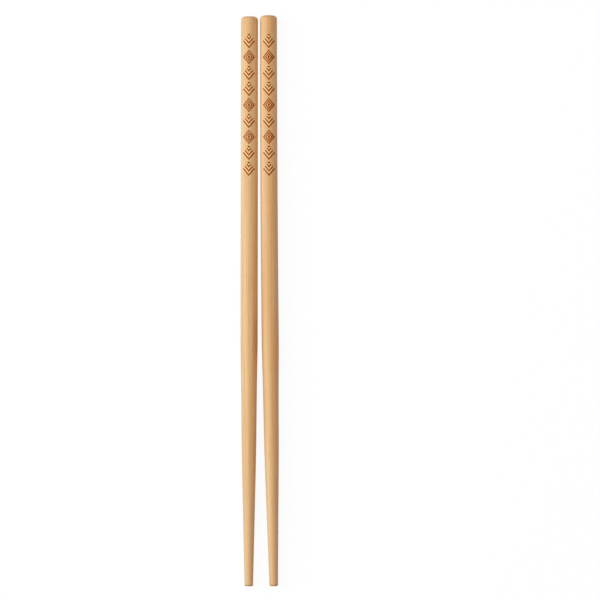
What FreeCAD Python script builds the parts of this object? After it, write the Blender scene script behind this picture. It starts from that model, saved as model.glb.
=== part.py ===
import FreeCAD, Part
import Sketcher
import os

# A pair of round bamboo chopsticks that lie side by side with their engraved sides up.
# +Y runs along them to their butts, +X is to the right and +Z is up. The origin is on the
# surface that they lie on, below the middle of the pair. Lengths are in millimetres.
# In a stick's own frame the butt's centre is the origin, +Y leaves the butt along the axis,
# and the engraving faces +Z.

sizes = {
    # one stick, from its butt to its tip
    "handle_diameter": 7.25,
    "handle_length": 139.0,
    "butt_round": 1.45,
    "grip_taper_length": 45.0,
    "grip_taper_drop": 1.13,  # taken off the diameter along the grip taper
    "tip_taper_length": 56.0,
    "tip_diameter": 3.62,
    "tip_bevel": 0.35,
    # the engraved motifs, whose heights lie along the stick
    "butt_margin": 7.95,  # plain length before the first motif
    "motif_height": 6.1,
    "motif_width": 4.9,
    "motif_gap": 0.6,
    "chevron_height": 0.82,  # of one chevron's stroke
    "cap_height": 0.9,
    "cap_width": 1.4,
    "ring_height": 0.62,  # of one ring's stroke
    "ring_gap": 0.56,
    "dot_height": 1.9,
    "dot_width": 0.9,
    "engraving_depth": 0.15,
    # how the two sticks lie
    "stick_gap": 0.75,  # clear width between the butts
    "splay_angle": 0.3,  # degrees that each tip swings outwards
    "roll_angle": 2.0,  # degrees that each engraved side leans outwards
}

chevrons_per_motif = 3

total_length = "(Sizes.handle_length + Sizes.grip_taper_length + Sizes.tip_taper_length)"
motif_pitch = "(Sizes.motif_height + Sizes.motif_gap)"
half_height = "Sizes.motif_height / 2"
half_width = "Sizes.motif_width / 2"

origin_point = (-1, 1)
near = 1e-6


def make_sheet(doc):
    sheet = doc.addObject("Spreadsheet::Sheet", "Sizes")
    for row, (name, value) in enumerate(sizes.items(), start=1):
        sheet.set(f"A{row}", name)
        sheet.set(f"B{row}", str(value))
        sheet.setAlias(f"B{row}", name)
    doc.recompute()


def origin_feature(body, role):
    return next(feature for feature in body.Origin.OriginFeatures if feature.Role == role)


def flat_sketch(body, name):
    """A sketch on the plane that holds the stick's axis and faces the engraved side."""
    sketch = body.newObject("Sketcher::SketchObject", name)
    sketch.AttachmentSupport = (origin_feature(body, "XY_Plane"), [""])
    sketch.MapMode = "FlatFace"
    return sketch


def pin(sketch, line, corner):
    """Hold the start of a line at a corner given by two expressions."""
    for direction, expression in zip(("DistanceX", "DistanceY"), corner):
        value = sketch.evalExpression(expression)
        constraint = Sketcher.Constraint(direction, *origin_point, line, 1, value)
        index = sketch.addConstraint(constraint)
        sketch.setExpression(f"Constraints[{index}]", expression)


def draw_outline(sketch, corners):
    """Draw a closed outline of straight lines through corners given by expressions."""
    places = [FreeCAD.Vector(sketch.evalExpression(x), sketch.evalExpression(y), 0) for x, y in corners]
    first = sketch.GeometryCount
    for start, end in zip(places, places[1:] + places[:1]):
        sketch.addGeometry(Part.LineSegment(start, end))
    for index, corner in enumerate(corners):
        following = (index + 1) % len(corners)
        joint = Sketcher.Constraint("Coincident", first + index, 2, first + following, 1)
        sketch.addConstraint(joint)
        pin(sketch, first + index, corner)


def rim_at(shape, y):
    """The name of the round edge where the stick's side meets an end at y."""
    for index, edge in enumerate(shape.Edges, start=1):
        box = edge.BoundBox
        if box.XLength > near and abs(box.YMin - y) < near and abs(box.YMax - y) < near:
            return f"Edge{index}"
    raise RuntimeError(f"no round edge at {y}")


def break_rim(body, kind, name, y, size_name, size):
    """Round or bevel the edge of the stick's end at y."""
    solid = body.Tip
    edge_break = body.newObject(kind, name)
    edge_break.Base = (solid, [rim_at(solid.Shape, y)])
    edge_break.setExpression(size_name, size)
    body.Document.recompute()


def revolve(body, name, corners):
    sketch = flat_sketch(body, f"{name}Outline")
    draw_outline(sketch, corners)
    solid = body.newObject("PartDesign::Revolution", name)
    solid.Profile = sketch
    solid.ReferenceAxis = (sketch, ["V_Axis"])
    solid.Angle = 360


def turn_blank(body):
    """Turn the plain stick: a round handle, a gentle taper at the grip and a steeper one to the tip."""
    handle_radius = "Sizes.handle_diameter / 2"
    waist_radius = "(Sizes.handle_diameter - Sizes.grip_taper_drop) / 2"
    tip_radius = "Sizes.tip_diameter / 2"
    handle_end = "-Sizes.handle_length"
    waist = "-(Sizes.handle_length + Sizes.grip_taper_length)"
    tip = f"-{total_length}"
    corners = [
        ("0", "0"),
        (handle_radius, "0"),
        (handle_radius, handle_end),
        (waist_radius, waist),
        (tip_radius, tip),
        ("0", tip),
    ]
    revolve(body, "Blank", corners)
    body.Document.recompute()
    tip_y = body.evalExpression(tip)
    break_rim(body, "PartDesign::Fillet", "ButtRound", 0, "Radius", "Sizes.butt_round")
    break_rim(body, "PartDesign::Chamfer", "TipBevel", tip_y, "Size", "Sizes.tip_bevel")


def lozenge(top, bottom, width):
    """The corners of a lozenge between two heights on the stick's axis."""
    middle = f"({top} + {bottom}) / 2"
    return [("0", top), (f"{width} / 2", middle), ("0", bottom), (f"-{width} / 2", middle)]


def motif_centre(slot):
    return f"(-Sizes.butt_margin - {half_height} - {slot} * {motif_pitch})"


def draw_chevrons(sketch, slot):
    """Nested chevrons that point to the tip, with a small lozenge as a cap on the corner that they leave."""
    centre = motif_centre(slot)
    pitch = f"(Sizes.motif_height - Sizes.chevron_height) / {chevrons_per_motif}"
    for chevron in range(chevrons_per_motif):
        outer = f"(-{half_height} + {chevron} * {pitch})"
        inner = f"({outer} + Sizes.chevron_height)"
        arms = []
        for apex in (outer, inner):
            reach = f"{half_width} * ({half_height} - {apex}) / Sizes.motif_height"
            arms.append((reach, f"{centre} + ({half_height} + {apex}) / 2"))
        corners = [("0", f"{centre} + {outer}"), *arms, ("0", f"{centre} + {inner}")]
        corners += [(f"-{reach}", height) for reach, height in reversed(arms)]
        draw_outline(sketch, corners)
    top = f"({centre} + {half_height})"
    draw_outline(sketch, lozenge(top, f"({top} - Sizes.cap_height)", "Sizes.cap_width"))


def draw_lozenges(sketch, slot):
    """Two lozenge rings, one in the other, round a lozenge dot."""
    centre = motif_centre(slot)
    edges = [
        half_height,
        f"({half_height} - Sizes.ring_height)",
        f"({half_height} - Sizes.ring_height - Sizes.ring_gap)",
        f"({half_height} - 2 * Sizes.ring_height - Sizes.ring_gap)",
    ]
    for edge in edges:
        width = f"2 * {edge} * Sizes.motif_width / Sizes.motif_height"
        draw_outline(sketch, lozenge(f"({centre} + {edge})", f"({centre} - {edge})", width))
    dot_half = "Sizes.dot_height / 2"
    draw_outline(sketch, lozenge(f"({centre} + {dot_half})", f"({centre} - {dot_half})", "Sizes.dot_width"))


def engrave(body, draw, slot):
    """Cut the motif at a slot, counted from the butt, from the axis out through the engraved side."""
    sketch = flat_sketch(body, f"Motif{slot}Outlines")
    draw(sketch, slot)
    cut = body.newObject("PartDesign::Pocket", f"Motif{slot}")
    cut.Profile = sketch
    cut.Type = "ThroughAll"
    cut.Reversed = True
    body.Document.recompute()
    return cut


def engrave_band(body):
    """Two groups of four motifs, with one more lozenge motif between them."""
    group = [draw_chevrons, draw_lozenges, draw_chevrons, draw_chevrons]
    slots_to_next_group = len(group) + 1
    cuts = [engrave(body, draw, slot) for slot, draw in enumerate(group)]
    repeat = body.newObject("PartDesign::LinearPattern", "SecondGroup")
    repeat.Originals = cuts
    repeat.Direction = (origin_feature(body, "Y_Axis"), [""])
    repeat.Reversed = True
    repeat.Mode = "Spacing"
    repeat.Occurrences = 2
    repeat.setExpression("Offset", f"{slots_to_next_group} * {motif_pitch}")
    body.Tip = repeat
    body.Document.recompute()
    engrave(body, draw_lozenges, len(group))


def fill_cuts(body):
    """Fill the cuts again from the axis up to the floor of the engraving."""
    core_radius = "(Sizes.handle_diameter / 2 - Sizes.engraving_depth)"
    start = "-Sizes.butt_round"
    end = "-Sizes.handle_length"
    corners = [("0", start), (core_radius, start), (core_radius, end), ("0", end)]
    revolve(body, "Core", corners)
    body.Document.recompute()


def lay(body, side):
    """Put a stick down on its handle, on the left with side -1 or on the right with side 1."""
    x = f"{side} * (Sizes.handle_diameter + Sizes.stick_gap) / 2"
    y = f"{total_length} / 2 * cos(Sizes.splay_angle * 1 deg)"
    z = "Sizes.handle_diameter / 2"
    turn = f"create(<<rotation>>; {side} * Sizes.splay_angle; {side} * Sizes.roll_angle; 0)"
    body.setExpression("Placement", f"create(<<placement>>; create(<<vector>>; {x}; {y}; {z}); {turn})")


def make_stick(doc, label, side):
    body = doc.addObject("PartDesign::Body", label.title().replace("_", ""))
    body.Label = label
    turn_blank(body)
    blank_volume = body.Shape.Volume
    engrave_band(body)
    cut_volume = body.Shape.Volume
    fill_cuts(body)
    lay(body, side)
    doc.recompute()
    if not cut_volume < body.Shape.Volume < blank_volume:
        raise RuntimeError(f"{label}: the engraving takes nothing away")
    engraved = blank_volume - body.Shape.Volume
    print(f"{label}: {body.Shape.Volume:.1f} cubic mm, {engraved:.2f} of it engraved away")
    return body


def check(doc, sticks):
    for item in doc.Objects:
        if "Invalid" in item.State or "Error" in item.State:
            raise RuntimeError(f"{item.Label} is {item.State}")
    for stick in sticks:
        shape = stick.Shape
        if shape.isNull() or not shape.isValid() or len(shape.Solids) != 1:
            raise RuntimeError(f"{stick.Label} is not one valid solid")


doc = FreeCAD.newDocument("Chopsticks")
make_sheet(doc)
sticks = [make_stick(doc, "left_stick", -1), make_stick(doc, "right_stick", 1)]
check(doc, sticks)

os.makedirs("parts", exist_ok=True)
for stick in sticks:
    stick.Shape.exportStep(f"parts/{stick.Label}.step")
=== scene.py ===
import math

import bpy
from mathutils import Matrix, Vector


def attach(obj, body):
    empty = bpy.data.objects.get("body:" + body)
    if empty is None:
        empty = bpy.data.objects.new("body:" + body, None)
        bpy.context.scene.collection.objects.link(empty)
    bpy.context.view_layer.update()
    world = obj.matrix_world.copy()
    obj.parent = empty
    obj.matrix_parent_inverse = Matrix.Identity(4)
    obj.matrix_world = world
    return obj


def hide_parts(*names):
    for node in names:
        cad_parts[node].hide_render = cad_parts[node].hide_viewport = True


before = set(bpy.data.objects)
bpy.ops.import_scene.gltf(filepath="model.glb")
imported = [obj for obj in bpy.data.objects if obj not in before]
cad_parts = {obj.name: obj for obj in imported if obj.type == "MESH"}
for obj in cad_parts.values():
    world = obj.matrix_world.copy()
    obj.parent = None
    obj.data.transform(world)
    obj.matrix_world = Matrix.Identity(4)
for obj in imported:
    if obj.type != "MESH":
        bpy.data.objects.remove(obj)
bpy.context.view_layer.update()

print("frame loaded")

millimetre = 0.001


class Wire:
    # One output of a node. Arithmetic on it adds Math nodes to the same tree.
    def __init__(self, bench, socket):
        self.bench = bench
        self.socket = socket

    def math(self, operation, *others):
        return self.bench.math(operation, self, *others)

    def __add__(self, other):
        return self.math("ADD", other)

    def __radd__(self, other):
        return self.math("ADD", other)

    def __sub__(self, other):
        return self.math("SUBTRACT", other)

    def __rsub__(self, other):
        return self.bench.math("SUBTRACT", other, self)

    def __mul__(self, other):
        return self.math("MULTIPLY", other)

    def __rmul__(self, other):
        return self.math("MULTIPLY", other)

    def __truediv__(self, other):
        return self.math("DIVIDE", other)

    def __neg__(self):
        return self.math("MULTIPLY", -1.0)

    def __abs__(self):
        return self.math("ABSOLUTE")

    def clamped(self):
        return self.math("MAXIMUM", 0.0).math("MINIMUM", 1.0)

    def out(self, name):
        return Wire(self.bench, self.socket.node.outputs[name])

    def xyz(self):
        parts = self.bench.node("ShaderNodeSeparateXYZ", {}, {"Vector": self})
        return parts.out("X"), parts.out("Y"), parts.out("Z")


class Bench:
    # One node tree, and the ways to put a node on it.
    def __init__(self, tree):
        self.tree = tree

    def node(self, kind, settings, sockets, out=0):
        made = self.tree.nodes.new(kind)
        for name, value in settings.items():
            setattr(made, name, value)
        for name, value in sockets.items():
            for item in value if isinstance(value, list) else [value]:
                if isinstance(item, Wire):
                    self.tree.links.new(item.socket, made.inputs[name])
                else:
                    made.inputs[name].default_value = item
        return Wire(self, made.outputs[out]) if len(made.outputs) else None

    def math(self, operation, *values):
        return self.node("ShaderNodeMath", {"operation": operation}, dict(enumerate(values)))

    def vector(self, x, y, z):
        return self.node("ShaderNodeCombineXYZ", {}, {"X": x, "Y": y, "Z": z})

    def blend(self, share, first, second):
        # Sockets 6 and 7 are the two colours, and output 2 is their mix.
        sockets = {0: share, 6: first, 7: second}
        return self.node("ShaderNodeMix", {"data_type": "RGBA"}, sockets, out=2)

    def rise(self, value, low, high):
        # 0 at low and 1 at high, with soft ends.
        settings = {"interpolation_type": "SMOOTHSTEP"}
        sockets = {"Value": value, "From Min": low, "From Max": high}
        return self.node("ShaderNodeMapRange", settings, sockets)

    def fall(self, value, low, high):
        # 1 at low and 0 at high, with soft ends.
        return 1 - self.rise(value, low, high)


def linear(red, green, blue):
    # A screen colour from 0 to 255, as the light that a shader works with. The numbers are those of
    # the sRGB curve.
    shares = [value / 255 for value in (red, green, blue)]
    light = [share / 12.92 if share <= 0.04045 else ((share + 0.055) / 1.055) ** 2.4 for share in shares]
    return (*light, 1.0)


# Camera. It looks straight down from the right of the pair, and its view is turned by a fraction of a
# degree. Metres, the lens and the sensor in millimetres, the turn in degrees.

view = {
    "distance": 0.9,
    "lens": 128.25,
    "sensor": 36.0,
    "target": (0.01679, 0.0003, 0.0036),
    "turn": -0.227,
}
camera = bpy.data.objects.new("camera", bpy.data.cameras.new("camera"))
bpy.context.scene.collection.objects.link(camera)
camera.data.sensor_width = view["sensor"]
camera.data.lens = view["lens"]
camera.location = Vector(view["target"]) + Vector((0.0, 0.0, view["distance"]))
camera.rotation_euler = (0.0, 0.0, math.radians(view["turn"]))
bpy.context.scene.camera = camera
print("camera set")


# The engraved band

# Millimetres. Heights lie along the stick.
engraving = {
    "buttMargin": 7.95,
    "motifHeight": 6.1,
    "motifWidth": 4.9,
    "motifGap": 0.6,
    "motifs": 9,
    "group": 5.0,  # motifs until their order repeats
    "lozengePlaces": (1.0, 4.0),  # in each group, with 0 next to the butt
    "chevronsPerMotif": 3,
    "chevronHeight": 0.82,  # of one chevron's stroke
    "capHeight": 0.9,
    "capWidth": 1.4,
    "ringHeight": 0.62,  # of one ring's stroke
    "ringGap": 0.56,
    "dotHeight": 1.9,
    "dotWidth": 0.9,
    "depth": 0.15,
    "reach": 0.6,  # of the cutting blocks, up from the axis, in handle diameters
    "mergeWithin": 0.0001,  # distance within which the corners of a motif become one
}
motifPitch = engraving["motifHeight"] + engraving["motifGap"]
firstMotif = engraving["buttMargin"] + engraving["motifHeight"] / 2  # its centre, from the butt
motifSlope = engraving["motifHeight"] / engraving["motifWidth"]
chevronPitch = (engraving["motifHeight"] - engraving["chevronHeight"]) / engraving["chevronsPerMotif"]
capMiddle = (engraving["motifHeight"] - engraving["capHeight"]) / 2  # from its motif's centre


def lozengeCorners(middle, height, width):
    # Tip end, right, butt end, left.
    tall, wide = height / 2, width / 2
    return [(0.0, middle - tall), (wide, middle), (0.0, middle + tall), (-wide, middle)]


def chevronFaces():
    # Nested chevrons that point to the tip, with a small lozenge as a cap on the corner that they leave.
    halfHeight = engraving["motifHeight"] / 2
    faces = []
    for number in range(engraving["chevronsPerMotif"]):
        outer = -halfHeight + number * chevronPitch
        apexes = (outer, outer + engraving["chevronHeight"])
        arms = [((halfHeight - apex) / motifSlope / 2, (halfHeight + apex) / 2) for apex in apexes]
        faces.append([(0.0, apexes[0]), arms[0], arms[1], (0.0, apexes[1])])
        faces.append([(-x, y) for x, y in reversed(faces[-1])])
    faces.append(lozengeCorners(capMiddle, engraving["capHeight"], engraving["capWidth"]))
    return faces


def lozengeFaces():
    # Two lozenge rings, one in the other, round a lozenge dot.
    inward = 2 * engraving["ringHeight"]
    nextRing = inward + 2 * engraving["ringGap"]
    faces = []
    for outer in (engraving["motifHeight"], engraving["motifHeight"] - nextRing):
        heights = (outer, outer - inward)
        edge, hole = [lozengeCorners(0.0, height, height / motifSlope) for height in heights]
        for here in range(4):
            after = (here + 1) % 4
            faces.append([edge[here], edge[after], hole[after], hole[here]])
    faces.append(lozengeCorners(0.0, engraving["dotHeight"], engraving["dotWidth"]))
    return faces


def makeSheet(name, faces):
    # A flat motif. Each of its faces has four corners of its own.
    points = [(x, y, 0.0) for face in faces for x, y in face]
    corners = [tuple(range(4 * number, 4 * number + 4)) for number in range(len(faces))]
    mesh = bpy.data.meshes.new(name)
    mesh.from_pydata(points, [], corners)
    sheet = bpy.data.objects.new(name, mesh)
    bpy.context.scene.collection.objects.link(sheet)
    return sheet


# Sticks

# One stick, in millimetres.
stick = {
    "length": 240.0,
    "handleDiameter": 7.25,
    "slimmingEnd": 0.42,  # share of the length along which the handle slims to the butt
    "gripTaperLength": 45.0,
    "gripTaperDrop": 1.13,  # taken off the diameter along the grip taper
    "gripHollow": 0.16,  # taken off the diameter once more where the grip taper begins
    "hollowPlace": 0.4,  # share of the grip taper at which the hollow is deepest
    "tipTaperLength": 56.0,
    "tipDiameter": 3.62,
    "buttRound": 1.45,
    "tipRound": 0.4,
    "shoulderBlend": 0.12,  # how much the tapers are sanded into each other
    "creaseAngle": 30.0,  # degrees, and edges that turn more than this stay crisp
    "mergeWithin": 0.0005,  # distance within which points become one after the cutting
    "sides": 128,
    "buttRings": 9,
    "lengthRings": 150,
    "tipRings": 6,
    "coreRings": 40,
}

# How the pair lies. Lengths in millimetres, angles in degrees.
pair = {
    "gap": 0.75,
    "splay": 0.3,  # each tip swings outwards
    "roll": 2.0,  # each engraved side leans outwards
}


def turned(bench, given, count, fromButt, radius):
    # A solid of revolution with this many rings, each with its own distance from the butt and radius.
    onAxis = bench.vector(0.0, -fromButt, 0.0)
    line = bench.node("GeometryNodeMeshLine", {}, {"Count": count})
    line = bench.node("GeometryNodeSetPosition", {}, {"Geometry": line, "Position": onAxis})
    axis = bench.node("GeometryNodeMeshToCurve", {}, {"Mesh": line})
    axis = bench.node("GeometryNodeSetCurveRadius", {}, {"Curve": axis, "Radius": radius})
    sockets = {"Resolution": given["Sides"], "Radius": 1.0}
    circle = bench.node("GeometryNodeCurvePrimitiveCircle", {}, sockets)
    widths = bench.node("GeometryNodeInputRadius", {}, {})
    sockets = {"Curve": axis, "Profile Curve": circle, "Scale": widths, "Fill Caps": True}
    return bench.node("GeometryNodeCurveToMesh", {}, sockets)


def radiusAt(bench, given, fromButt):
    # The radius of the stick's side: a handle that slims a little to the butt, and two tapers.
    handleRadius = given["Handle Diameter"] / 2
    waistRadius = handleRadius - given["Grip Taper Drop"] / 2
    pastHandle = fromButt - given["Length"] + given["Grip Taper Length"] + given["Tip Taper Length"]
    gripShare = pastHandle / given["Grip Taper Length"]
    gripTaper = handleRadius - gripShare * given["Grip Taper Drop"] / 2
    tipShare = (pastHandle - given["Grip Taper Length"]) / given["Tip Taper Length"]
    tipTaper = waistRadius - tipShare * (waistRadius - given["Tip Diameter"] / 2)
    radius = handleRadius.math("SMOOTH_MIN", gripTaper, given["Shoulder Blend"])
    radius = radius.math("SMOOTH_MIN", tipTaper, given["Shoulder Blend"])
    hollowPlace = stick["hollowPlace"]
    hollow = bench.rise(gripShare, 0.0, hollowPlace) * bench.fall(gripShare, hollowPlace, 1.0)
    slimming = bench.fall(fromButt, 0.0, given["Length"] * stick["slimmingEnd"])
    return radius - hollow * given["Grip Hollow"] / 2 - slimming * given["Butt Slimming"] / 2


def ringPlaces(bench, given, index):
    # Distance from the butt and radius of each ring: round the butt, down the side, round the tip.
    quarter = math.pi / 2
    sideEnd = given["Butt Rings"] + given["Length Rings"]
    buttTurn = (index / given["Butt Rings"]).clamped() * quarter
    sideShare = ((index - given["Butt Rings"]) / given["Length Rings"]).clamped()
    tipTurn = ((index - sideEnd) / given["Tip Rings"]).clamped() * quarter
    side = given["Length"] - given["Butt Trim"] - given["Butt Round"] - given["Tip Round"]
    fromButt = given["Butt Trim"] + given["Butt Round"] * (1 - buttTurn.math("COSINE"))
    fromButt = fromButt + sideShare * side + given["Tip Round"] * tipTurn.math("SINE")
    radius = radiusAt(bench, given, fromButt) - given["Butt Round"] * (1 - buttTurn.math("SINE"))
    return fromButt, radius - given["Tip Round"] * (1 - tipTurn.math("COSINE"))


def isLozengeAt(slot):
    # 1 where the motif at a slot, counted from 0 at the butt, is a lozenge, and 0 where it is a chevron.
    place = slot.math("MODULO", engraving["group"])
    first, second = [place.math("COMPARE", number, 0.1) for number in engraving["lozengePlaces"]]
    return first + second


def cuttingBlock(bench, sheet, height):
    # A motif's faces, which lie on the axis, drawn up through the engraved side into closed blocks.
    near = engraving["mergeWithin"]
    flat = bench.node("GeometryNodeObjectInfo", {}, {"Object": sheet}, out="Geometry")
    flat = bench.node("GeometryNodeMergeByDistance", {}, {"Geometry": flat, "Distance": near})
    drawn = {"Mesh": flat, "Offset Scale": height, "Individual": False}
    walls = bench.node("GeometryNodeExtrudeMesh", {}, drawn)
    floor = bench.node("GeometryNodeFlipFaces", {}, {"Mesh": flat})
    block = bench.node("GeometryNodeJoinGeometry", {}, {"Geometry": [walls, floor]})
    return bench.node("GeometryNodeMergeByDistance", {}, {"Geometry": block, "Distance": near})


def bandOfBlocks(bench, given, index):
    # The blocks of every motif in the band.
    slots = {
        "Count": given["Motifs"],
        "Start Location": bench.vector(0.0, -given["First Motif"], 0.0),
        "Offset": bench.vector(0.0, -given["Motif Pitch"], 0.0),
    }
    slots = bench.node("GeometryNodeMeshLine", {}, slots)
    isLozenge = isLozengeAt(index)
    blocks = []
    for title, chosen in (("Chevron Motif", 1 - isLozenge), ("Lozenge Motif", isLozenge)):
        block = cuttingBlock(bench, given[title], given["Handle Diameter"] * engraving["reach"])
        sockets = {"Points": slots, "Selection": chosen, "Instance": block}
        blocks.append(bench.node("GeometryNodeInstanceOnPoints", {}, sockets))
    blocks = bench.node("GeometryNodeJoinGeometry", {}, {"Geometry": blocks})
    return bench.node("GeometryNodeRealizeInstances", {}, {"Geometry": blocks})


def engrave(bench, given, index, blank):
    # A core a little thinner than the stick comes off the blocks first, so that they cut evenly deep.
    handleEnd = given["Length"] - given["Grip Taper Length"] - given["Tip Taper Length"]
    coreSpot = index / (given["Core Rings"] - 1) * handleEnd
    coreRadius = radiusAt(bench, given, coreSpot) - given["Engraving Depth"]
    core = turned(bench, given, given["Core Rings"], coreSpot, coreRadius)
    blocks = bandOfBlocks(bench, given, index)
    cut = {"operation": "DIFFERENCE", "solver": "MANIFOLD"}
    blocks = bench.node("GeometryNodeMeshBoolean", cut, {"Mesh 1": blocks, "Mesh 2": core})
    form = bench.node("GeometryNodeMeshBoolean", cut, {"Mesh 1": blank, "Mesh 2": blocks})
    merged = {"Geometry": form, "Distance": stick["mergeWithin"]}
    return bench.node("GeometryNodeMergeByDistance", {}, merged)


def layDown(bench, given, form):
    # The straight stick's own millimetres are kept for the material. Then it goes to its place in
    # metres, and its middle bows sideways while its ends stay.
    asVector = {"data_type": "FLOAT_VECTOR"}
    place = bench.node("GeometryNodeInputPosition", {}, {})
    keep = {"Geometry": form, "Name": "stickPlace", "Value": place}
    form = bench.node("GeometryNodeStoreNamedAttribute", {**asVector, "domain": "POINT"}, keep)

    turn = bench.node("FunctionNodeEulerToRotation", {}, {"Euler": given["Turn"]})
    scale = (millimetre, millimetre, millimetre)
    laid = {"Geometry": form, "Translation": given["Place"], "Rotation": turn, "Scale": scale}
    form = bench.node("GeometryNodeTransform", {}, laid)

    kept = bench.node("GeometryNodeInputNamedAttribute", asVector, {"Name": "stickPlace"})
    share = -kept.xyz()[1] / given["Length"]
    sideways = given["Bow"] * millimetre * 4.0 * share * (1 - share)  # a parabola, whose peak is the bow
    bowed = {"Geometry": form, "Offset": bench.vector(sideways, 0.0, 0.0)}
    return bench.node("GeometryNodeSetPosition", {}, bowed)


def shaded(bench, form):
    # Smooth all over, apart from the engraving's edges.
    smooth = {"Geometry": form, "Shade Smooth": True}
    form = bench.node("GeometryNodeSetShadeSmooth", {"domain": "FACE"}, smooth)
    angle = bench.node("GeometryNodeInputMeshEdgeAngle", {}, {}, out="Unsigned Angle")
    sharp = angle.math("GREATER_THAN", math.radians(stick["creaseAngle"]))
    crisp = {"Geometry": form, "Selection": sharp, "Shade Smooth": False}
    return bench.node("GeometryNodeSetShadeSmooth", {"domain": "EDGE"}, crisp)


socketKinds = {
    float: "NodeSocketFloat",
    int: "NodeSocketInt",
    Vector: "NodeSocketVector",
    bpy.types.Object: "NodeSocketObject",
    bpy.types.Material: "NodeSocketMaterial",
}


def stickTree(inputs):
    # Makes a stick from its named inputs, each of the kind that its value needs.
    tree = bpy.data.node_groups.new("stick", "GeometryNodeTree")
    tree.interface.new_socket("Geometry", in_out="OUTPUT", socket_type="NodeSocketGeometry")
    for name, value in inputs.items():
        tree.interface.new_socket(name, in_out="INPUT", socket_type=socketKinds[type(value)])
    bench = Bench(tree)
    source = bench.node("NodeGroupInput", {}, {})
    given = {name: source.out(name) for name in inputs}

    index = bench.node("GeometryNodeInputIndex", {}, {})
    rings = given["Butt Rings"] + given["Length Rings"] + given["Tip Rings"] + 1
    blank = turned(bench, given, rings, *ringPlaces(bench, given, index))
    form = engrave(bench, given, index, blank)
    form = shaded(bench, layDown(bench, given, form))
    form = bench.node("GeometryNodeRealizeInstances", {}, {"Geometry": form})
    form = bench.node("GeometryNodeSetMaterial", {}, {"Geometry": form, "Material": given["Material"]})
    bench.node("NodeGroupOutput", {}, {"Geometry": form})
    return tree


def layPlace(side):
    x = side * (stick["handleDiameter"] + pair["gap"]) / 2
    y = stick["length"] / 2 * math.cos(math.radians(pair["splay"]))
    z = stick["handleDiameter"] / 2
    return Vector((x, y, z)) * millimetre


def stickInputs(side, look, sheets, material):
    # What the stick on one side, -1 for the left and 1 for the right, gives to the tree.
    return {
        "Length": stick["length"],
        "Handle Diameter": stick["handleDiameter"],
        "Grip Taper Length": stick["gripTaperLength"],
        "Grip Taper Drop": stick["gripTaperDrop"],
        "Grip Hollow": stick["gripHollow"],
        "Butt Slimming": look["buttSlimming"],
        "Butt Trim": look["buttTrim"],
        "Tip Taper Length": stick["tipTaperLength"],
        "Tip Diameter": stick["tipDiameter"],
        "Butt Round": stick["buttRound"],
        "Tip Round": stick["tipRound"],
        "Shoulder Blend": stick["shoulderBlend"],
        "Sides": stick["sides"],
        "Butt Rings": stick["buttRings"],
        "Length Rings": stick["lengthRings"],
        "Tip Rings": stick["tipRings"],
        "Core Rings": stick["coreRings"],
        "Chevron Motif": sheets[0],
        "Lozenge Motif": sheets[1],
        "Motifs": engraving["motifs"],
        "First Motif": firstMotif,
        "Motif Pitch": motifPitch,
        "Engraving Depth": engraving["depth"],
        "Bow": look["bow"],
        "Place": layPlace(side),
        "Turn": Vector((0.0, math.radians(side * pair["roll"]), math.radians(side * pair["splay"]))),
        "Material": material,
    }


def makeStick(name, tree, inputs):
    piece = bpy.data.objects.new(name, bpy.data.meshes.new(name))
    bpy.context.scene.collection.objects.link(piece)
    modifier = piece.modifiers.new("stick", "NODES")
    modifier.node_group = tree
    for item in tree.interface.items_tree:
        if item.in_out == "INPUT":
            modifier[item.identifier] = inputs[item.name]
    graph = bpy.context.evaluated_depsgraph_get()
    mesh = bpy.data.meshes.new_from_object(piece.evaluated_get(graph), depsgraph=graph)
    piece.modifiers.remove(modifier)
    piece.data = mesh
    mesh.name = name
    print(name, "has", sum(len(face.vertices) - 2 for face in mesh.polygons), "triangles")
    return piece


# Bamboo

# Tones are screen colours.
bamboo = {
    "tones": {
        "honey": (214, 169, 111),
        "straw": (224, 188, 134),
        "amber": (203, 148, 90),
        "fibre": (166, 112, 62),
        "glow": (232, 176, 114),  # painted light, bounced from the other stick where it is near
        "tip": (206, 166, 118),
        # Darker round the butt's edge, and painted shade round the tip's edge.
        "rim": (146, 100, 62),
    },
    "driftEdge": (0.3, 0.7),  # of the broad noise
    "drift": 0.45,  # how far the slow changes of tone go from honey to amber
    "tipStart": 150.0,  # millimetres from the butt
    "tipStrength": 0.45,
    "roughness": 0.5,
    "roughnessRange": 0.16,
    "gloss": 0.4,
    "sheen": 0.3,
    "sheenRoughness": 0.5,
    "relief": {"fine": 0.5, "streaks": 0.35, "flecks": 0.15},  # how much of each field shows as height
    "reliefStrength": 0.5,
    "reliefDepth": 0.00008,  # metres
}
paint = {name: linear(*tone) for name, tone in bamboo["tones"].items()}

# The grain's fields of noise: step of the seed, width and length of their features, detail.
grain = {
    "broad": (0, 2.2, 70.0, 2.0),
    "streaks": (5, 0.5, 40.0, 3.0),
    "bands": (7, 1.0, 90.0, 1.0),
    "fine": (9, 0.14, 16.0, 2.0),
    "flecks": (14, 0.17, 6.0, 1.0),
    "scorch": (21, 0.3, 1.1, 2.0),
}

# The ends, in millimetres from an end. A pair of distances is where a soft edge begins and ends.
ends = {
    "bundles": (2.1, 0.02, 2.1),  # fibre bundles per millimetre
    "dotEdge": (0.16, 0.34),  # within a bundle's cell
    "dotStrength": 0.7,
    "buttFace": (0.02, 0.5),
    "tipFace": (0.25, 0.03),
    "faceStrength": 0.25,
    "buttRim": (0.2, 1.3),
    "buttRimStrength": 0.25,
    # Painted shade round the tip's rounded edge, in millimetres from the end.
    "tipPaintedShade": (0.9, 0.3),
    "tipPaintedShadeStrength": 0.75,
    "rimOffFace": 0.8,  # share of the rim's tone that the end faces go without
}

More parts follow.
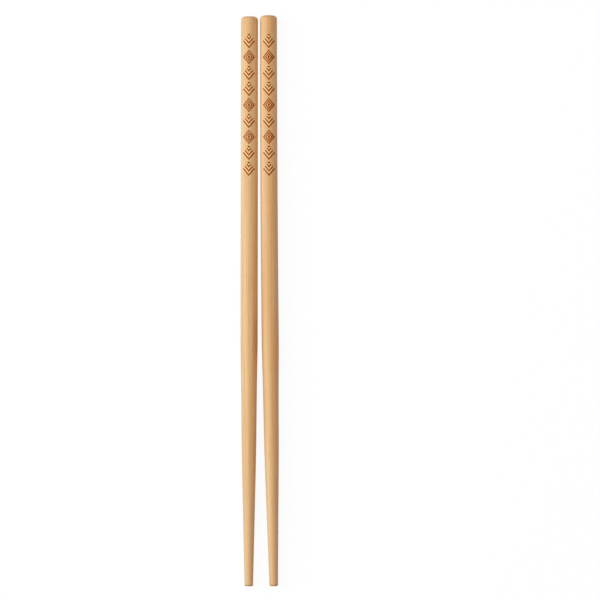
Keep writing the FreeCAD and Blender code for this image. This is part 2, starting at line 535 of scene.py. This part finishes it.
# The burning. Lengths in millimetres, along the stick where nothing else is said.
burn = {
    "tones": {
        "stroke": (162, 91, 32),
        "dark": (108, 54, 14),
        "halo": (200, 128, 66),
        "tint": (224, 137, 62),  # between a lozenge's rings
        "ember": (244, 168, 106),  # round its dot
        "bare": (242, 184, 118),  # between chevrons
    },
    "onTop": (0.3, 1.2),  # heights above the axis between which the engraved side sets in
    "strokeEdge": 0.06,
    "dotEdge": 0.1,
    "motifEdge": (-0.2, 0.4),  # beyond the motif's outline
    "emberEdge": (-0.2, 0.1),  # beyond the inner ring's hole
    "emberStrength": 0.6,
    "haloWidth": 0.2,
    "haloStrength": 0.12,
    "bareStrength": 0.7,
    "bareSide": (0.2, 2.2),  # sideways, where bare wood gives way to scorched wood
    "cornerSide": (0.2, 2.2),  # sideways, where a lozenge's scorched corner sets in
    "cornerLean": 0.4,  # how much the scorched corner leans towards the tip
    "tintSide": (-2.0, 2.0),  # from the left and the butt to the right and the tip
    "tintLeast": 0.4,  # share of a lozenge's tint on its pale side
    "scorchEdge": (0.3, 0.7),  # of the scorch noise
    "scorchHeat": 0.4,
    "heatSide": (-1.6, 2.0),  # sideways, where the strokes get darker
    "sideHeat": 0.1,
    "dotHeat": 0.4,
    "lozengeCooling": 0.5,  # share of the other heat that lozenges go without
    "roughness": 0.8,
    "gloss": 0.1,
}
char = {name: linear(*tone) for name, tone in burn["tones"].items()}

# What differs between the two sticks. Each patch: from the butt, across, length, width, strength, tone.
# The patches beside the other stick are painted light.
leftLook = {
    "seed": 3.0,
    "bow": 0.0,
    "buttSlimming": 0.12,
    "buttTrim": 0.4,
    "warmth": 0.0,
    "paleness": 0.4,
    "tint": 0.36,
    "cornerScorch": 0.3,
    "patches": [
        (135.5, 3.0, 16.0, 1.6, 0.45, "fibre"),
        # Painted light: the next patch lightens the side that faces the other stick, where its shade
        # falls.
        (45.0, 2.4, 80.0, 1.3, 0.55, "straw"),
        # Painted light: the glow that the other stick throws back onto this one.
        (40.0, 3.65, 90.0, 0.8, 0.6, "glow"),
        (58.0, -2.8, 65.0, 1.3, 0.5, "straw"),
        (3.0, -1.8, 14.0, 1.6, 0.6, "amber"),
    ],
}
rightLook = {
    "seed": 11.0,
    "bow": -0.52,
    "buttSlimming": 0.08,
    "buttTrim": 0.0,
    "warmth": 0.225,
    "paleness": 0.15,
    "tint": 0.7,
    "cornerScorch": 0.8,
    "patches": [
        (4.0, 0.0, 16.0, 3.4, 0.4, "amber"),
        (42.0, -1.5, 60.0, 1.4, 0.55, "amber"),
        # Painted light: the next patch lightens the side that faces the other stick, where its shade
        # falls.
        (54.0, -3.1, 86.0, 1.3, 0.6, "straw"),
        (114.0, -0.9, 34.0, 2.2, 0.65, "amber"),
        (116.0, 1.2, 30.0, 0.9, 0.3, "straw"),
        (45.0, 2.6, 80.0, 1.2, 0.4, "straw"),
        (205.0, -1.9, 50.0, 1.1, 0.6, "straw"),
    ],
}
patchCore = 0.2  # share of a patch's reach within which it has its full strength


def grainField(bench, place, seed, name):
    # Each field lies at its own place in the noise, which the stick's seed moves.
    step, across, along, detail = grain[name]
    start = seed + step
    sockets = {
        "Vector": place,
        "Location": (start, 1.7 * start, 0.6 * start),
        "Scale": (1 / across, 1 / along, 1 / across),
    }
    stretched = bench.node("ShaderNodeMapping", {}, sockets)
    sockets = {"Vector": stretched, "Scale": 1.0, "Detail": detail}
    return bench.node("ShaderNodeTexNoise", {}, sockets, out="Fac")


def coatsOfTone(look):
    # In the order in which they go on: field, the side of it that they lie on, from, to, strength, tone.
    return [
        ("bands", "high", 0.4, 0.72, look["paleness"], "straw"),
        ("bands", "low", 0.28, 0.52, 0.4, "amber"),
        ("streaks", "high", 0.5, 0.68, 0.45, "straw"),
        ("streaks", "low", 0.3, 0.5, 0.55, "amber"),
        ("fine", "low", 0.3, 0.5, 0.35, "amber"),
        ("flecks", "high", 0.64, 0.74, 0.5, "fibre"),
    ]


def woodColour(bench, look, fields, x, along):
    # Slow drifts of tone, streaks of fibre and short dark flecks, then the stick's own patches.
    drift = bench.rise(fields["broad"], *bamboo["driftEdge"]) * bamboo["drift"] + look["warmth"]
    colour = bench.blend(drift, paint["honey"], paint["amber"])
    for field, side, low, high, strength, tone in coatsOfTone(look):
        edge = bench.rise if side == "high" else bench.fall
        colour = bench.blend(edge(fields[field], low, high) * strength, colour, paint[tone])
    # The patches beside the other stick are painted light.
    for fromButt, across, length, width, strength, tone in look["patches"]:
        run = (along - fromButt) / length
        reach = (x - across) / width
        nearness = bench.fall((run * run + reach * reach).math("SQRT"), patchCore, 1.0)
        colour = bench.blend(nearness * strength, colour, paint[tone])
    tipShare = bench.rise(along, bamboo["tipStart"], stick["length"]) * bamboo["tipStrength"]
    return bench.blend(tipShare, colour, paint["tip"])


def endColour(bench, look, place, along, colour):
    # Bundles of fibres show as dots in the end faces, and the butt's cut edge is a little darker. The
    # tip's rounded edge is darkened as painted shade.
    sockets = {"Vector": place, "Scale": ends["bundles"]}
    stretched = bench.node("ShaderNodeMapping", {}, sockets)
    sockets = {"Vector": stretched, "Scale": 1.0}
    cells = bench.node("ShaderNodeTexVoronoi", {}, sockets, out="Distance")
    dots = bench.fall(cells, *ends["dotEdge"])
    fromButt = along - look["buttTrim"]
    tipFace, tipPaintedShade = [[stick["length"] - spot for spot in ends[name]] for name in ("tipFace", "tipPaintedShade")]
    onFace = bench.fall(fromButt, *ends["buttFace"]) + bench.rise(along, *tipFace)
    # Painted shade round the tip's edge, and a darker edge round the butt.
    rim = bench.rise(along, *tipPaintedShade) * ends["tipPaintedShadeStrength"]
    rim = rim + bench.fall(fromButt, *ends["buttRim"]) * ends["buttRimStrength"]
    colour = bench.blend(onFace * ends["faceStrength"], colour, paint["amber"])
    colour = bench.blend(onFace * dots * ends["dotStrength"], colour, paint["fibre"])
    return bench.blend(rim * (1 - onFace * ends["rimOffFace"]), colour, paint["rim"])


def outsideDiamond(x, height, tall, wide):
    # How far a point is outside a lozenge, along the stick, and below 0 within it.
    return abs(x) * (tall / wide) + abs(height) - tall / 2


def outsideChevrons(x, height):
    # The same for a motif's chevrons and their cap.
    chevron, halfHeight = engraving["chevronHeight"], engraving["motifHeight"] / 2
    slant = abs(x) * motifSlope
    fromApex = height - slant + halfHeight
    nearest = (fromApex - chevron / 2 + chevronPitch / 2).math("FLOORED_MODULO", chevronPitch)
    chevrons = abs(nearest - chevronPitch / 2) - chevron / 2
    chevrons = chevrons.math("MAXIMUM", slant + height - halfHeight).math("MAXIMUM", -fromApex)
    last = chevronPitch * (engraving["chevronsPerMotif"] - 1) + chevron
    chevrons = chevrons.math("MAXIMUM", fromApex - last)
    cap = outsideDiamond(x, height - capMiddle, engraving["capHeight"], engraving["capWidth"])
    return chevrons.math("MINIMUM", cap)


def motifAround(bench, x, along):
    # Where a point is in the band of motifs. Their rule is the one that cuts them, slot by slot.
    halfHeight, ring = engraving["motifHeight"] / 2, engraving["ringHeight"]
    ringPitch = ring + engraving["ringGap"]
    hole = halfHeight - ringPitch - ring  # half the height of the inner ring's hole
    bandStart = engraving["buttMargin"] - engraving["motifGap"] / 2
    slot = ((along - bandStart) / motifPitch).math("FLOOR")
    inBand = slot.math("GREATER_THAN", -0.5) * (1 - slot.math("GREATER_THAN", engraving["motifs"] - 0.5))
    isLozenge = isLozengeAt(slot)
    height = firstMotif + slot * motifPitch - along  # from the motif's centre towards the butt
    fromCentre = abs(x) * motifSlope + abs(height)

    outerRing = abs(fromCentre - halfHeight + ring / 2) - ring / 2
    innerRing = abs(fromCentre - halfHeight + ring / 2 + ringPitch) - ring / 2
    dot = outsideDiamond(x, height, engraving["dotHeight"], engraving["dotWidth"])
    lozenges = outerRing.math("MINIMUM", innerRing).math("MINIMUM", dot)
    distance = lozenges * isLozenge + outsideChevrons(x, height) * (1 - isLozenge)

    motifEdge = [halfHeight + spot for spot in burn["motifEdge"]]
    emberEdge = [hole + spot for spot in burn["emberEdge"]]
    return {
        "distance": distance + (1 - inBand) * 10,  # from the nearest stroke, and far outside the band
        "height": height,
        "isLozenge": isLozenge,
        "inside": bench.fall(fromCentre, *motifEdge) * inBand,
        "inRings": bench.fall(fromCentre, *emberEdge) * isLozenge,
        "onDot": bench.fall(dot, 0.0, burn["dotEdge"]) * isLozenge,
    }


def colourBetweenStrokes(bench, look, motif, onTop, x, colour):
    # The wood within a motif, and the scorched edges of its strokes.
    isLozenge, onMotif = motif["isLozenge"], motif["inside"] * onTop
    scorched = bench.rise(x, *burn["bareSide"]) * look["cornerScorch"]
    bare = (1 - isLozenge) * (1 - scorched) * onMotif
    side = bench.rise(x - motif["height"], *burn["tintSide"])
    tint = isLozenge * (burn["tintLeast"] + side * (1 - burn["tintLeast"])) * look["tint"] * onMotif
    corner = bench.rise(x - motif["height"] * burn["cornerLean"], *burn["cornerSide"])
    corner = corner * isLozenge * look["cornerScorch"] * onMotif
    halo = bench.fall(motif["distance"], 0.0, burn["haloWidth"]) * onTop
    colour = bench.blend(bare * burn["bareStrength"], colour, char["bare"])
    colour = bench.blend(tint, colour, char["tint"])
    colour = bench.blend(corner, colour, char["stroke"])
    colour = bench.blend(motif["inRings"] * onMotif * burn["emberStrength"], colour, char["ember"])
    return bench.blend(halo * burn["haloStrength"], colour, char["halo"])


def strokeColour(bench, motif, scorch, x):
    # Burnt unevenly, darker to the right and in a lozenge's dot.
    heat = bench.rise(scorch, *burn["scorchEdge"]) * burn["scorchHeat"]
    heat = heat + bench.rise(x, *burn["heatSide"]) * burn["sideHeat"]
    heat = heat * (1 - motif["isLozenge"] * burn["lozengeCooling"]) + motif["onDot"] * burn["dotHeat"]
    return bench.blend(heat, char["stroke"], char["dark"])


def makeBamboo(name, look):
    material = bpy.data.materials.new(name)
    material.use_nodes = True
    material.node_tree.nodes.clear()
    bench = Bench(material.node_tree)
    place = bench.node("ShaderNodeAttribute", {"attribute_name": "stickPlace"}, {}, out="Vector")
    x, y, z = place.xyz()
    along = -y
    fields = {field: grainField(bench, place, look["seed"], field) for field in grain}
    motif = motifAround(bench, x, along)
    onTop = bench.rise(z, *burn["onTop"])

    colour = woodColour(bench, look, fields, x, along)
    colour = endColour(bench, look, place, along, colour)
    colour = colourBetweenStrokes(bench, look, motif, onTop, x, colour)
    relief = sum(fields[field] * share for field, share in bamboo["relief"].items())
    sockets = {"Height": relief, "Strength": bamboo["reliefStrength"], "Distance": bamboo["reliefDepth"]}
    bump = bench.node("ShaderNodeBump", {}, sockets)
    wooden = {
        "Base Color": colour,
        "Roughness": bamboo["roughness"] + (fields["streaks"] - 0.5) * bamboo["roughnessRange"],
        "Normal": bump,
        "Specular IOR Level": bamboo["gloss"],
        "Sheen Weight": bamboo["sheen"],
        "Sheen Roughness": bamboo["sheenRoughness"],
    }
    charred = {
        "Base Color": strokeColour(bench, motif, fields["scorch"], x),
        "Roughness": burn["roughness"],
        "Normal": bump,
        "Specular IOR Level": burn["gloss"],
    }
    sanded = bench.node("ShaderNodeBsdfPrincipled", {}, wooden)
    burnt = bench.node("ShaderNodeBsdfPrincipled", {}, charred)
    inStroke = bench.fall(motif["distance"], 0.0, burn["strokeEdge"]) * onTop
    surface = bench.node("ShaderNodeMixShader", {}, {0: inStroke, 1: sanded, 2: burnt})
    bench.node("ShaderNodeOutputMaterial", {}, {"Surface": surface})
    return material


sheets = [makeSheet("chevronMotif", chevronFaces()), makeSheet("lozengeMotif", lozengeFaces())]
leftInputs = stickInputs(-1, leftLook, sheets, makeBamboo("leftStickBamboo", leftLook))
rightInputs = stickInputs(1, rightLook, sheets, makeBamboo("rightStickBamboo", rightLook))
tree = stickTree(leftInputs)
leftStick = makeStick("leftStick", tree, leftInputs)
rightStick = makeStick("rightStick", tree, rightInputs)
for sheet in sheets:
    bpy.data.objects.remove(sheet)
for piece, node in ((leftStick, "left_stick"), (rightStick, "right_stick")):
    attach(piece, "root")
    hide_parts(node)
print("sticks made")


# Floor, world and lamps

studio = {
    "floorSize": 4.0,
    "floorTone": 0.45,  # what the floor gives back to the sticks
    "backdropShare": 0.94,  # how much of the floor's own white the camera sees, without the shadow
    "ambient": 0.4,
    "ambientTint": (1.0, 0.98, 0.99),
}
white = (1.0, 1.0, 1.0, 1.0)


def seenRays(bench):
    # 1 for light on its way to the eye, straight or by gloss or glass, and 0 for light on the object.
    ray = bench.node("ShaderNodeLightPath", {}, {}, out="Is Camera Ray")
    return ray.math("MAXIMUM", ray.out("Is Glossy Ray")).math("MAXIMUM", ray.out("Is Transmission Ray"))


def makeFloor():
    material = bpy.data.materials.new("paleFloor")
    material.use_nodes = True
    material.node_tree.nodes.clear()
    bench = Bench(material.node_tree)
    seen = seenRays(bench)
    tone = studio["floorTone"]
    colour = bench.blend(seen, (tone, tone, tone, 1.0), white)
    paper = bench.node("ShaderNodeBsdfDiffuse", {}, {"Color": colour})
    glow = bench.node("ShaderNodeEmission", {}, {"Color": white, "Strength": 1.0})
    sockets = {0: seen * studio["backdropShare"], 1: paper, 2: glow}
    surface = bench.node("ShaderNodeMixShader", {}, sockets)
    bench.node("ShaderNodeOutputMaterial", {}, {"Surface": surface})
    half = studio["floorSize"] / 2
    corners = [(-half, -half, 0.0), (half, -half, 0.0), (half, half, 0.0), (-half, half, 0.0)]
    mesh = bpy.data.meshes.new("floor")
    mesh.from_pydata(corners, [], [(0, 1, 2, 3)])
    mesh.materials.append(material)
    floor = bpy.data.objects.new("floor", mesh)
    bpy.context.scene.collection.objects.link(floor)


def makeWorld():
    world = bpy.data.worlds.new("studio")
    bpy.context.scene.world = world
    world.use_nodes = True
    world.node_tree.nodes.clear()
    bench = Bench(world.node_tree)
    seen = seenRays(bench)
    strength = studio["ambient"] + seen * (1 - studio["ambient"])
    tint = bench.blend(seen, (*studio["ambientTint"], 1.0), white)
    surface = bench.node("ShaderNodeBackground", {}, {"Color": tint, "Strength": strength})
    bench.node("ShaderNodeOutputWorld", {}, {"Surface": surface})


# Place and size in metres, power in watts. The lamps face the origin.
lamps = {
    "key": {"place": (-1.23, 0.3, 1.03), "size": 1.6, "power": 33.4, "colour": (0.87, 1.0, 1.12)},
    "fill": {"place": (1.23, 0.0, 1.03), "size": 1.2, "power": 4.0, "colour": (1.0, 0.42, 0.06)},
}


def makeLamp(name, place, size, power, colour):
    light = bpy.data.lights.new(name, "AREA")
    light.shape = "SQUARE"
    light.size = size
    light.energy = power
    light.color = colour
    lamp = bpy.data.objects.new(name, light)
    lamp.location = place
    lamp.rotation_euler = (-Vector(place)).to_track_quat("-Z", "Y").to_euler()
    bpy.context.scene.collection.objects.link(lamp)


makeFloor()
makeWorld()
for name, settings in lamps.items():
    makeLamp(name, **settings)
bpy.context.scene.view_settings.view_transform = "Standard"
print("studio lit")
